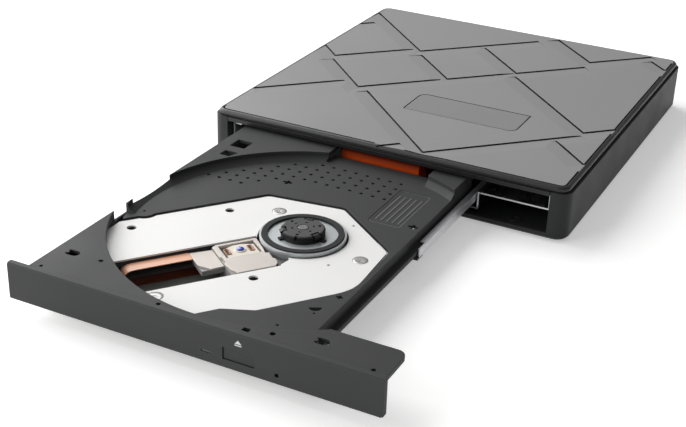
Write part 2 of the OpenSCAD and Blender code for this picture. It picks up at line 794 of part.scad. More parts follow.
module tray_moulding() color("#3a3a3c") difference() {
    union() {
        difference() {
            span([tray_left, tray_y, z_under], [tray_right, tray_end, z_top]);
            difference() {
                span([tray_left + tray_wall, tray_y + tray_wall, z_under - over],
                    [tray_right - tray_wall, tray_end - tray_wall, z_top - skin]);
                recess_space(skin, skin);
            }
        }
        span([flex_x[0] - flex_slot[0], window_y, z_recess - skin],
            [flex_x[1] + flex_slot[1], arch_y + 0.2, z_recess]);
        span([tray_right - over, tray_y, z_top - flange_thick],
            [flange_right - flange_round, bezel_y + flange_depth, z_top]);
        span([flange_right - flange_round - over, tray_y, z_top - flange_thick],
            [flange_right, bezel_y + flange_depth - flange_round, z_top]);
        bar_z(flange_right - flange_round, bezel_y + flange_depth - flange_round, z_top - flange_thick, z_top,
            flange_round);
        for (side = [-1, 1]) at_side(side)
            span([-0.5, tray_y, -runner_half], [runner_reach, tray_end, runner_half]);
        for (p = bottom_screw_places) bar_z(p[0], p[1], z_under, z_top - skin / 2, 2.2);
        bar_z(latch_x, latch_y, z_under + latch_low + latch_thick + 0.1, z_top - skin / 2, 2.2);
        bar_y(ejector_x, ejector_y, tray_end, z_ejector, ejector_bore + ejector_wall);
        span([ejector_x - 1, ejector_y, z_ejector + ejector_bore],
            [ejector_x + 1, tray_end, z_top - skin / 2]);
    }
    recess_space(0, 0);
    intersection() {
        at_spindle() translate([0, 0, z_under]) linear_extrude(z_recess - z_under + over)
            plate_outline(plate_gap);
        span([tray_left + tray_wall, tray_y + tray_wall, z_under],
            [tray_right - tray_wall, tray_end, z_top]);
    }
    span([flex_x[0] - flex_slot[0], arch_y + 0.2, z_under - over],
        [flex_x[1] + flex_slot[1], tray_end + over, z_top + over]);
    span([flex_x[0] - flex_slot[0], window_y, z_recess],
        [flex_x[1] + flex_slot[1], arch_y + over, z_top + over]);
    end_pocket();
    at_spindle() bar_z(scallop[0], scallop[1], z_recess - 0.5, z_recess + over, 0.5);
    span([tray_left + tray_wall, tray_end - 2 * tray_wall, z_under - over],
        [tray_right - tray_wall, tray_end + over, z_bay + bay_clear]);
    bar_y(ejector_x, ejector_y + 1, tray_end + over, z_ejector, ejector_bore);
    bar_z(latch_x, latch_y, z_under, z_recess - skin, latch_pin_radius);
    for (p = bottom_screw_places) bar_z(p[0], p[1], z_under - over, z_under + 4, 0.8);
    button_place() span([-button_width / 2 - 1.2, -over, -button_height / 2 - 1],
        [button_width / 2 + 1.2, tray_wall + over, button_height / 2 + 1]);
    span([lamp_x - lamp_size[0] / 2 - 0.2, tray_y - over, z_lamp - lamp_size[1] / 2 - 0.2],
        [lamp_x + lamp_size[0] / 2 + 0.2, tray_y + tray_wall + over, z_lamp + lamp_size[1] / 2 + 0.2]);
    bar_y(release_x, tray_y - over, tray_y + tray_wall + over, z_release, release_radius);
    perforation();
    cross_slot(29, 24.2, 3.6);
    cross_slot(-24.4, 33.1, 3.6);
    cross_slot(29, -29.6, 2.4);
    translate([spindle_x + 25.5, spindle_y - 38.6, z_recess - 2 * skin]) rotate(30) linear_extrude(3 * skin)
        difference() {
            circle(r = 2);
            translate([-3, 0]) square([6, 3]);
        }
    for (p = [[26.75, -41.7, 0.4], [20.7, -52.9, 0.5]])
        bar_z(spindle_x + p[0], spindle_y + p[1], z_recess - 2 * skin, z_recess + over, p[2]);
    translate([spindle_x + 19.25, spindle_y + 34.7, z_recess - 0.3]) linear_extrude(over)
        rounded_rect(12.1, 27.5, 1.5);
    long_slot(-51.5, 15.7);
    long_slot(40.6, 9.2);
    for (p = [[-40.7, 15.9, 0.8], [-54.5, 4.2, 0.6], [26.6, 5.8, 0.9], [59.5, 3.5, 0.75], [-10.6, 3.2, 0.75]])
        bar_z(p[0], bezel_y + p[1], z_top - 2 * skin, z_top + over, p[2]);
    span([17.8, bezel_y + 3, z_top - 2 * skin], [20.2, bezel_y + 4.8, z_top + over]);
    translate([tray_left, tray_end, z_top - 2 * skin]) linear_extrude(3 * skin) {
        translate([4.5, -24.4]) square([6.3, 6.6]);
        polygon([[5.3, -32.9], [5.5, -28.7], [11, -28.7], [9.4, -33.1]]);
    }
}

module bezel() color("#38383a") difference() {
    translate([-bezel_width / 2, 0, 0]) rotate([90, 0, 90]) linear_extrude(bezel_width)
        polygon([[bezel_y + 0.6, z_bezel_low], [tray_y, z_bezel_low], [tray_y, z_bezel_high],
            [bezel_y + 0.5, z_bezel_high], [bezel_y, z_bezel_high - 0.5], [bezel_y, z_bezel_low + 0.6]]);
    button_place()
        span([-button_width / 2 - button_gap, -bezel_thick - over, -button_height / 2 - button_gap],
            [button_width / 2 + button_gap, over, button_height / 2 + button_gap]);
    span([lamp_x - lamp_size[0] / 2 - 0.1, bezel_y - over, z_lamp - lamp_size[1] / 2 - 0.1],
        [lamp_x + lamp_size[0] / 2 + 0.1, tray_y + over, z_lamp + lamp_size[1] / 2 + 0.1]);
    bar_y(release_x, bezel_y - over, tray_y + over, z_release, release_radius);
    span([bezel_width / 2 - 0.8, bezel_y - over, z_bezel_low - over],
        [bezel_width / 2 + over, tray_y + over, z_bezel_low + 0.8]);
}

module light_pipe() color("#dfe3e0")
    span([lamp_x - lamp_size[0] / 2, bezel_y + 0.2, z_lamp - lamp_size[1] / 2],
        [lamp_x + lamp_size[0] / 2, tray_y + tray_wall + 1, z_lamp + lamp_size[1] / 2]);

module front_board() color("#1f5a37") difference() {
    top = z_lamp - lamp_size[1] / 2 - 0.2;
    span([lamp_x - 4, tray_y + tray_wall, top - 0.8], [button_x + 8, tray_y + 8, top]);
    for (p = bottom_screw_places) bar_z(p[0], p[1], z_under - over, z_top, 2.5);
}

module button_switch() color("#d9d9d6")
    span([button_x - 2.2, tray_y + tray_wall + 1.9, z_lamp - lamp_size[1] / 2 - 0.2],
        [button_x + 2.2, tray_y + tray_wall + 5, z_button + 1.4]);

module eject_button() color("#323234") button_place() {
    span([-button_width / 2, -bezel_thick + button_sunk, -button_height / 2],
        [button_width / 2, 0.1, button_height / 2]);
    span([-button_width / 2 - 0.8, 0.1, -button_height / 2 - 0.6],
        [button_width / 2 + 0.8, 0.8, button_height / 2 + 0.6]);
    span([-1.2, 0.8, -0.9], [1.2, tray_wall + 1.9 - button_travel - 0.1, 0.9]);
}

module bottom_plate() color("#b4b6b9") difference() {
    union() {
        span([tray_left, tray_y, z_tray], [tray_right, tray_end - 30, z_under]);
        at_spindle() for (p = damper_places) {
            bar_z(p[0], p[1], z_under - bottom_sheet / 2, z_under + 2.2, 1.6);
            bar_z(p[0], p[1], z_under, z_frame - 0.3, stud_radius);
        }
    }
    span([latch_cut[0], latch_cut[1], z_tray - over],
        [tray_right + over, tray_end, z_under + bottom_sheet / 2]);
    for (p = bottom_screw_places) bar_z(p[0], p[1], z_tray - over, z_under + over, 0.95);
}

module bottom_screws() color("#8a8b8e")
    for (p = bottom_screw_places)
        screw(p[0], p[1], z_tray - 0.3, z_under + 3.6, 0.75, 1.5, 0.3);

// Mechanism

module mechanism_plate() color("#f3f3f0") difference() {
    intersection() {
        at_spindle() translate([0, 0, z_seat]) linear_extrude(plate_sheet) difference() {
            plate_outline(0);
            translate([-base_width, slot_low]) square([base_width + slot_end, slot_high - slot_low]);
            polygon([[slot_end - 1, slot_low], [slot_end + 4, -12.6], [slot_end + 4, 0], [slot_end - 1, 0]]);
            circle(r = turntable_radius + 0.7);
        }
        span([tray_left + tray_wall + plate_side, tray_y + tray_wall + plate_side, z_under],
            [plate_right, tray_end, z_top]);
    }
    at_spindle() {
        for (p = plate_screw_places) {
            bar_z(p[0], p[1], z_seat - over, z_plate + over, 1.1);
            bar_z(p[0], p[1], z_plate - 0.3, z_plate + over, 2.6);
        }
        for (p = damper_places) bar_z(p[0], p[1], z_seat - over, z_plate + over, 1.6);
        for (p = [[19, 1], [0, -20.7]]) bar_z(p[0], p[1], z_seat - over, z_plate + over, 0.55);
    }
}

module plate_screws() color("#c9c9c6") at_spindle()
    for (p = plate_screw_places) {
        bar_z(p[0], p[1], z_plate - 0.3, z_plate, 2.5);
        bar_z(p[0], p[1], z_frame_low + 0.3, z_plate - 0.3, 0.8);
    }

module mechanism_frame() color("#a9acb0") {
    frame_front = lens_place - 5.9;
    arm = frame_front - rod_from + 2;
    difference() {
        intersection() {
            at_spindle() union() {
                translate([0, 0, z_frame_low]) linear_extrude(frame_thick) difference() {
                    union() {
                        intersection() {
                            plate_outline(-1.2);
                            translate([frame_front, -base_width]) square(2 * base_width);
                        }
                        translate([rod_from, slot_high + 0.4]) square([arm, 5.4]);
                        translate([rod_from, rod_low - 5.2]) square([arm, slot_low - rod_low + 4.6]);
                        translate([damper_places[0][0] - 3.6, rod_high])
                            square([7, damper_places[0][1] - rod_high + 3.5]);
                        translate([rod_from, rod_high])
                            square([motor_length + 1.6, screw_line - rod_high + 3]);
                    }
                    translate([rod_from + 6, slot_low - 0.6])
                        square([slot_end - rod_from - 6, slot_high - slot_low + 1]);
                    circle(r = turntable_radius + 1.1);
                }
                for (x = [rod_from, rod_to - holder]) {
                    span([x, rod_high - 1.9, z_rod - 1.9], [x + holder, rod_high + 2.4, z_frame]);
                    span([x, rod_low - 2.2, z_rod - 1.9], [x + holder, rod_low + 1.6, z_frame]);
                }
                span([rod_to - holder + 0.3, screw_line - 1.8, z_rod - 1.9],
                    [rod_to + 0.3, screw_line + 1.8, z_frame]);
                for (i = [0, 1])
                    bar_z(plate_screw_places[i][0], plate_screw_places[i][1], z_under + 1, z_seat, 2.5);
                bar_z(plate_screw_places[2][0], plate_screw_places[2][1], z_frame_low, z_seat, 2.2);
            }
            span([tray_left + tray_wall + 0.5, tray_y + tray_wall + 0.5, z_under],
                [tray_right - tray_wall - 0.5, tray_end, z_top]);
        }
        at_spindle() {
            for (y = [rod_high, rod_low]) bar_x(rod_from - over, rod_to + over, y, z_rod, rod_radius + 0.02);
            bar_x(rod_to - holder - over, rod_to + over, screw_line, z_rod, 0.65);
            for (p = damper_places) bar_z(p[0], p[1], z_under, z_seat, stud_radius + 0.3);
            for (p = plate_screw_places) bar_z(p[0], p[1], z_frame_low, z_seat + over, 0.85);
        }
    }
}

module dampers() color("#303033") at_spindle()
    for (p = damper_places) difference() {
        bar_z(p[0], p[1], z_under + 2.2, z_frame_low, damper_radius);
        bar_z(p[0], p[1], z_under, z_frame, stud_radius + 0.05);
    }

module guide_rods() color("#d8dadd") at_spindle()
    for (y = [rod_high, rod_low]) bar_x(rod_from + 0.2, rod_to - 0.2, y, z_rod, rod_radius);

module sled_motor() color("#b0a58c") at_spindle() {
    bar_x(rod_from - 0.4, motor_face, screw_line, z_rod, motor_radius);
    span([motor_face - motor_flange, screw_line - motor_radius, z_rod - 1.5],
        [motor_face, screw_line + motor_radius, z_frame_low]);
}

module lead_screw() color("#c2c4c7") at_spindle() {
    bar_x(motor_face + 0.2, rod_to - holder - 0.2, screw_line, z_rod, screw_radius);
    bar_x(rod_to - holder - 0.2, rod_to + 0.2, screw_line, z_rod, 0.6);
}

module spindle_base() color("#b7b9bc") at_spindle() difference() {
    union() {
        translate([0, 0, z_under + 0.4]) linear_extrude(0.6) {
            circle(r = 14);
            for (i = [0, 1]) hull() {
                circle(r = 6);
                translate(plate_screw_places[i]) circle(r = 3);
            }
        }
        bar_z(0, 0, z_under + 0.4, z_under + 3, 11);
        bar_z(0, 0, z_under + 0.4, z_ring - 3.4, 2.6);
    }
    bar_z(0, 0, z_under + 0.7, z_ring, shaft_radius + 0.02);
}

module turntable() color("#cfd3d8") at_spindle() difference() {
    union() {
        bar_z(0, 0, z_ring - 1.6, z_ring - 0.4, turntable_radius);
        bar_z(0, 0, z_under + 1.8, z_ring - 1, turntable_radius - 0.4);
    }
    bar_z(0, 0, z_dish, z_ring + over, turntable_radius - 0.7);
    difference() {
        bar_z(0, 0, z_under, z_ring - 1.6, turntable_radius - 1.2);
        bar_z(0, 0, z_ring - 3.2, z_ring, 2.6);
    }
    bar_z(0, 0, z_under, z_ring, shaft_radius);
}

module friction_ring() color("#2f3234") at_spindle() difference() {
    bar_z(0, 0, z_dish, z_ring, turntable_radius - 0.75);
    bar_z(0, 0, z_dish - over, z_ring + over, turntable_radius - 2.8);
}

// Slot of a claw: open at the rim, under a thin roof further in
module claw_slot() {
    half = claw_width / 2 + 0.6;
    span([claw_from - 0.6, -half, z_ring - 0.2], [hub_radius + over, half, z_hub - claw_roof]);
    span([claw_open, -half, z_ring - 0.2], [hub_radius + over, half, z_hub + over]);
}

module hub() color("#1f1f21") at_spindle() rotate(hub_turn) difference() {
    union() {
        bar_z(0, 0, z_dish, z_hub - hub_bevel, hub_radius);
        translate([0, 0, z_hub - hub_bevel])
            cylinder(r1 = hub_radius, r2 = hub_radius - hub_bevel, h = hub_bevel);
        for (a = [0 : 120 : 240]) rotate(a + 15)
            span([0, -0.8, z_dish], [hub_radius + 1.4, 0.8, z_dish + 0.6]);
    }
    for (a = [0 : 120 : 240]) {
        rotate(a) claw_slot();
        rotate(a + 60) span([5.1, -0.55, z_hub - 1], [6.1, 0.55, z_hub + over]);
        rotate(a + 60) span([hub_radius - 0.7, -0.45, z_hub - 1.5], [hub_radius + over, 0.45, z_hub + over]);
    }
    for (a = [0 : 60 : 300]) rotate(a) span([3.3, -0.5, z_hub - 0.8], [3.95, 0.5, z_hub + over]);
    bar_z(0, 0, z_dish - over, z_hub + over, shaft_radius);
    bar_z(0, 0, z_hub - cap_thick, z_hub + over, cap_radius + 0.4);
}

module spindle_shaft() color("#d7d9dc") at_spindle() {
    bar_z(0, 0, z_under + 0.8, z_hub - cap_thick, shaft_radius);
    bar_z(0, 0, z_hub - cap_thick, z_hub + 0.05, cap_radius);
}

module claw(index) at_spindle() rotate(hub_turn + 120 * index) translate([0, claw_width / 2, 0])
    rotate([90, 0, 0]) linear_extrude(claw_width) polygon([[claw_from, z_ring], [hub_radius - 0.3, z_ring],
        [hub_radius + claw_reach, z_hub - 0.9], [hub_radius + claw_reach, z_hub - 0.6],
        [hub_radius - 0.5, z_hub - 0.1], [claw_open + 0.6, z_hub - 0.1],
        [claw_open + 0.6, z_hub - claw_roof - 0.2], [claw_from, z_hub - claw_roof - 0.2]]);

module claw_1() color("#242427") claw(0);

module claw_2() color("#242427") claw(1);

module claw_3() color("#242427") claw(2);

// Pickup
sled_edge = -15.4;
sled_low = -14.2;
sled_high = 5.6;
z_sled = z_plate - 1.1;
z_sled_low = z_under + 0.8;
z_pocket = z_under + 3;
tongue_end = -37.8;
cover_sheet = 0.8;
bush_from = sled_back + 1;
bush_to = sled_edge - 2.1;
shoe_from = lens_place - 2.2;
shoe_to = lens_place + 1.4;
nut_from = bush_to - 4.1;
nut_to = bush_to - 0.5;
window_from = [sled_back + 1.8, -3.9];
window_to = [sled_edge - 0.5, 4.5];
holder_from = [window_from[0] + 0.9, -3.6];
holder_to = [window_to[0] - 0.8, 3.6];
yoke_places = [-26.5, -18.5];
yoke_size = [0.6, 2.6];
yoke_gap = 0.25;
lens_radius = 1.35;
lens_rise = 0.6;
lens_dome = (lens_radius * lens_radius + lens_rise * lens_rise) / (2 * lens_rise);

module sled_body() color("#8f9296") at_spindle() difference() {
    union() {
        span([sled_back, sled_low, z_sled_low], [sled_edge, sled_high, z_sled]);
        span([tongue_end + 0.2, -7, z_sled - 2.4], [sled_back, 4.6, z_sled - 0.7]);
        span([bush_from, sled_high - over, z_rod - 1.2], [bush_to, rod_high, z_rod + 1.2]);
        bar_x(bush_from, bush_to, rod_high, z_rod, rod_radius + 0.7);
        span([nut_from - 0.6, rod_high, z_rod - 1.5], [bush_to, rod_high + 1.9, z_rod + 1.5]);
        span([shoe_from, rod_low - 0.7, z_rod - 1.8], [shoe_to, sled_low, z_rod + 1.8]);
    }
    span([window_from[0], window_from[1], z_pocket], [window_to[0], window_to[1], z_sled + over]);
    bar_x(bush_from - over, bush_to + over, rod_high, z_rod, rod_radius + run_fit);
    span([shoe_from - over, rod_low - over, z_rod - rod_radius - run_fit],
        [shoe_to + over, rod_low + 1.5, z_rod + rod_radius + run_fit]);
}

module pickup_cover() color("#cfc6ba") at_spindle() translate([0, 0, z_sled]) linear_extrude(cover_sheet)
difference() {
    polygon([[-28.6, sled_high], [-14.8, sled_high], [-14.5, 5], [-15, -2.1], [sled_edge, -5], [-14.2, -5.4],
        [-14.5, -9.1], [-13.8, -9.8], [-14, -12.2], [-15.5, sled_low], [-28.2, sled_low], [-29.6, -11.3],
        [sled_back, -8.4], [sled_back, -7], [sled_back + 0.7, -6.4], [sled_back + 0.7, -3], [sled_back, -2.2],
        [sled_back, 4.6]]);
    translate(window_from) square(window_to - window_from);
}

module pickup_tongue() color("#cfc6ba") at_spindle() translate([0, 0, z_sled - 0.7]) linear_extrude(0.6)
    polygon([[tongue_end, 5], [sled_back - 0.2, 4.4], [sled_back - 0.2, -7], [tongue_end + 3.2, -7.4],
        [tongue_end, -3.6]]);

// Plates that stand up through the slots of the lens holder
module yokes() color("#8a5a3a") at_spindle()
    for (x = yoke_places) span([x - yoke_size[0] / 2, -yoke_size[1] / 2, z_pocket],
        [x + yoke_size[0] / 2, yoke_size[1] / 2, z_sled + 0.3]);

module sled_nut() color("#e4e0d4") at_spindle() difference() {
    span([nut_from, rod_high + 1.9, z_rod - 1.9], [nut_to, screw_line + 1.9, z_rod + 1.9]);
    bar_x(nut_from - over, nut_to + over, screw_line, z_rod, screw_radius + run_fit);
}

module lens_holder() color("#e9dfc8") at_spindle() {
    translate([0, 0, z_pocket + 0.6]) linear_extrude(z_sled - z_pocket) difference() {
        polygon([holder_from, [holder_to[0], holder_from[1]], [holder_to[0], 2.4],
            [lens_place + 1.4, holder_to[1]], [lens_place - 1.4, holder_to[1]], [holder_from[0], 2]]);
        for (x = yoke_places) translate([x, 0])
            square([yoke_size[0] + 2 * yoke_gap, yoke_size[1] + 2 * yoke_gap], center = true);
    }
    bar_z(lens_place, 0, z_sled + 0.5, z_sled + 0.9, lens_radius + 0.5);
    translate([lens_place, 0, 0]) intersection() {
        bar_z(0, 0, z_sled + 0.8, z_sled + 0.9 + lens_rise, lens_radius);
        translate([0, 0, z_sled + 0.9 + lens_rise - lens_dome]) sphere(r = lens_dome);
    }
}

// Narrow flat cable: out from the pickup, round a bend and back under it
module pickup_flex() color("#d98a5b") at_spindle() {
    z_high = z_sled - 0.4;
    z_low = z_under + 0.3;
    bend = rod_from + 9;
    low_end = sled_back - 3;
    path = concat([[tongue_end - 0.1, z_high], [tongue_end - 7, z_high], [bend + 6, z_high]],
        [for (i = [0 : 12])
            curve([[bend, z_high], [bend - 5, z_high], [bend - 5, z_low], [bend, z_low]], i / 12)],
        [[bend + 7, z_low], [low_end - 7, z_low], [low_end, z_low]]);
    translate([0, pickup_flex_y[1], 0]) rotate([90, 0, 0]) linear_extrude(pickup_flex_y[1] - pickup_flex_y[0])
        polygon(strip(path, flex_thick));
}

// Latch, ejector and the tray's electrics

module tray_connector() color("#efe9da")
    span([flex_x[0], arch_y - 5, z_frame - 1.6], [flex_x[1], tray_plug_y + 0.1, z_recess - skin]);

module solenoid() color("#4a3a30") {
    span([latch_x - 13, latch_y - 5, z_under], [latch_x - 5.4, latch_y + 4, z_under + 5.2]);
}

module latch_pin() color("#d0d2d5") {
    bar_z(latch_x, latch_y, z_under, z_under + latch_low - 0.05, 1.4);
    bar_z(latch_x, latch_y, z_under, z_under + latch_low + latch_thick + 3, latch_pin_radius);
}

module latch_lever() color("#d8d2c0") {
    low = z_under + latch_low;
    hook = post_back + post_radius + 0.3;
    difference() {
        union() {
            bar_z(latch_x, latch_y, low, low + latch_thick, 2.2);
            translate([0, 0, low]) linear_extrude(latch_thick) polygon([[latch_x - 1.4, latch_y],
                [latch_x + 1.8, latch_y - 1], [latch_x + 4, hook], [post_x + 0.5, hook],
                [post_x - 0.6, hook + 2], [latch_x + 2, hook + 2]]);
            span([latch_x - 5, latch_y - 1.2, low], [latch_x, latch_y + 1.2, low + latch_thick]);
        }
        bar_z(latch_x, latch_y, low - over, low + latch_thick + over, latch_pin_radius + run_fit);
    }
}

module latch_spring() color("#c9cbce")
    translate([latch_x, latch_y, z_under + latch_low + latch_thick + 0.5]) coil(2.75, 0.25, 4, 2.6);

module ejector_plunger() color("#e6e2d6")
    bar_y(ejector_x, tray_end - ejector_inside, ejector_tip, z_ejector, ejector_radius);

module ejector_spring() color("#c9cbce") {
    from = ejector_y + 1.4;
    length = tray_end - ejector_inside - 0.4 - from;
    translate([ejector_x, from, z_ejector]) rotate([-90, 0, 0]) coil(1.5, 0.25, 7, length);
}

base_shell();
top_cover();
badge_plate();
rubber_feet();
cover_screws();
case_pan();
case_lid();
lid_screws();
case_screws();
rail_guide_left();
rail_guide_right();
drive_board();
flex_connector();
data_plug();
bridge_board();
data_socket();
usb_socket();
latch_post();
main_flex();
rail_left();
rail_clip_left();
rail_right();
rail_clip_right();
tray_moulding();
bezel();
light_pipe();
front_board();
button_switch();
bottom_plate();
bottom_screws();
mechanism_plate();
plate_screws();
mechanism_frame();
dampers();
guide_rods();
sled_motor();
spindle_base();
tray_connector();
solenoid();
latch_pin();
latch_spring();
ejector_spring();
pickup_flex();
eject_button();
turntable();
friction_ring();
hub();
spindle_shaft();
claw_1();
claw_2();
claw_3();
sled_body();
pickup_cover();
pickup_tongue();
yokes();
sled_nut();
lens_holder();
lead_screw();
latch_lever();
ejector_plunger();
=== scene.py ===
"""Looks of the external disc drive: camera, light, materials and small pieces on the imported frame."""
import math

import bmesh
import bpy
from mathutils import Matrix, Vector

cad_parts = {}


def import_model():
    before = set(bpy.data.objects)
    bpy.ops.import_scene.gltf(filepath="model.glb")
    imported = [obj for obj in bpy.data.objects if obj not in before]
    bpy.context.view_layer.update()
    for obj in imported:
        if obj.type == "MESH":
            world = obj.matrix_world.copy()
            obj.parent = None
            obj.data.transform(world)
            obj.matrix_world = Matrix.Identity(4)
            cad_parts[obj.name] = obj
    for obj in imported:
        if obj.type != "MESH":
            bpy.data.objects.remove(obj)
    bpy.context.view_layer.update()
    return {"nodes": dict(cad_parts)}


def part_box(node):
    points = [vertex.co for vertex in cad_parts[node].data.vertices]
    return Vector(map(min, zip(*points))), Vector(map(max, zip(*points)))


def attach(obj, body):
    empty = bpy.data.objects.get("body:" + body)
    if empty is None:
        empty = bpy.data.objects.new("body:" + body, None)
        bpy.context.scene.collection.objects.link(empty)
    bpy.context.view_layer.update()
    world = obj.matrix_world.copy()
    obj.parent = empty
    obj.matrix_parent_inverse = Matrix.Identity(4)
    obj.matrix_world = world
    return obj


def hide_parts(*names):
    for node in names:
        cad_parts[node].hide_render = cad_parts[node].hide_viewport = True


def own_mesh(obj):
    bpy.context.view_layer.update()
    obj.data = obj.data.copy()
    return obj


# Metres in a millimetre
MM = 0.001
# Axis of the spindle in millimetres, and the turn of the sled's path in degrees
SPINDLE = (2.2, -140.25)
PATH_TURN = 52


# Shader nodes


def wire(tree, kind, inputs=None, links=None, **settings):
    """New node with its settings, constant inputs and incoming links."""
    node = tree.nodes.new(kind)
    for key, value in settings.items():
        setattr(node, key, value)
    for key, value in (inputs or {}).items():
        node.inputs[key].default_value = value
    for key, source in (links or {}).items():
        tree.links.new(source, node.inputs[key])
    return node


def blended(tree, share, low, high):
    """Colour between two colours or colour outputs."""
    mix = wire(tree, "ShaderNodeMix", data_type="RGBA")
    tree.links.new(share, mix.inputs["Factor"])
    for socket, value in ((mix.inputs["A"], low), (mix.inputs["B"], high)):
        if isinstance(value, tuple):
            socket.default_value = (*value, 1)
        else:
            tree.links.new(value, socket)
    return mix.outputs["Result"]


def ramp(tree, value, low, high, to_low=0.0, to_high=1.0):
    """Value mapped from one range to another and kept inside it."""
    limits = {"From Min": low, "From Max": high, "To Min": to_low, "To Max": to_high}
    node = wire(tree, "ShaderNodeMapRange", limits, {"Value": value})
    return node.outputs["Result"]


# Camera and light


def camera():
    """Camera at the photograph's angle: turn, tilt and roll in degrees, place in metres."""
    turn = math.radians(26.391)
    tilt = math.radians(26.666)
    roll = math.radians(1.931)
    place = Vector((0.18114, -0.47175, 0.21119))
    back = Vector((math.sin(turn) * math.cos(tilt), -math.cos(turn) * math.cos(tilt), math.sin(tilt)))
    right = Vector((math.cos(turn), math.sin(turn), 0))
    up = back.cross(right)
    across = right * math.cos(roll) + up * math.sin(roll)
    upward = up * math.cos(roll) - right * math.sin(roll)
    data = bpy.data.cameras.new("camera")
    data.sensor_fit = "HORIZONTAL"
    data.sensor_width = 36
    data.lens = 67.56
    data.clip_start = 0.01
    data.clip_end = 20
    eye = bpy.data.objects.new("camera", data)
    bpy.context.collection.objects.link(eye)
    turned = Matrix((across, upward, back)).transposed().to_4x4()
    turned.translation = place
    eye.matrix_world = turned
    bpy.context.scene.camera = eye


def lamp(name, place, aim, size, power):
    """Soft square lamp that points at a place."""
    data = bpy.data.lights.new(name, "AREA")
    data.shape = "SQUARE"
    data.size = size
    data.energy = power
    obj = bpy.data.objects.new(name, data)
    obj.location = place
    obj.rotation_euler = (Vector(aim) - Vector(place)).to_track_quat("-Z", "Y").to_euler()
    bpy.context.collection.objects.link(obj)


def studio():
    """White surroundings, two soft lamps on the left and a pale floor that keeps the shadow."""
    room_light = 0.26
    seen_light = 1.0
    half = 6
    scene = bpy.context.scene
    scene.view_settings.view_transform = "Standard"
    world = bpy.data.worlds.new("studio")
    scene.world = world
    world.use_nodes = True
    tree = world.node_tree
    sky = tree.nodes["Background"]
    sky.inputs["Color"].default_value = (1, 1, 1, 1)
    path = wire(tree, "ShaderNodeLightPath")
    level = ramp(tree, path.outputs["Is Camera Ray"], 0, 1, room_light, seen_light)
    tree.links.new(level, sky.inputs["Strength"])
    lamp("key", place=(-0.72, 0.16, 0.55), aim=(0, -0.06, 0), size=1.0, power=11.7)
    lamp("fill", place=(-0.6, -0.75, 0.3), aim=(0, -0.1, 0), size=0.7, power=5.5)
    mesh = bpy.data.meshes.new("floor")
    corners = [(-half, -half, 0), (half, -half, 0), (half, half, 0), (-half, half, 0)]
    mesh.from_pydata(corners, [], [(0, 1, 2, 3)])
    floor = bpy.data.objects.new("floor", mesh)
    bpy.context.collection.objects.link(floor)
    mesh.materials.append(floor_paper())


def floor_paper():
    """White paper: light from the room, lifted to white for the eye and for reflections."""
    lift = 0.38
    mat = bpy.data.materials.new("floor_paper")
    mat.use_nodes = True
    tree = mat.node_tree
    shader = tree.nodes["Principled BSDF"]
    shader.inputs["Base Color"].default_value = (0.9, 0.9, 0.895, 1)
    shader.inputs["Roughness"].default_value = 0.9
    shader.inputs["Specular IOR Level"].default_value = 0.1
    shader.inputs["Emission Color"].default_value = (1, 1, 1, 1)
    path = wire(tree, "ShaderNodeLightPath")
    seen = wire(tree, "ShaderNodeMath", None,
                {0: path.outputs["Is Camera Ray"], 1: path.outputs["Is Glossy Ray"]}, operation="MAXIMUM")
    tree.links.new(ramp(tree, seen.outputs[0], 0, 1, 0, lift), shader.inputs["Emission Strength"])
    return mat


# Finishes


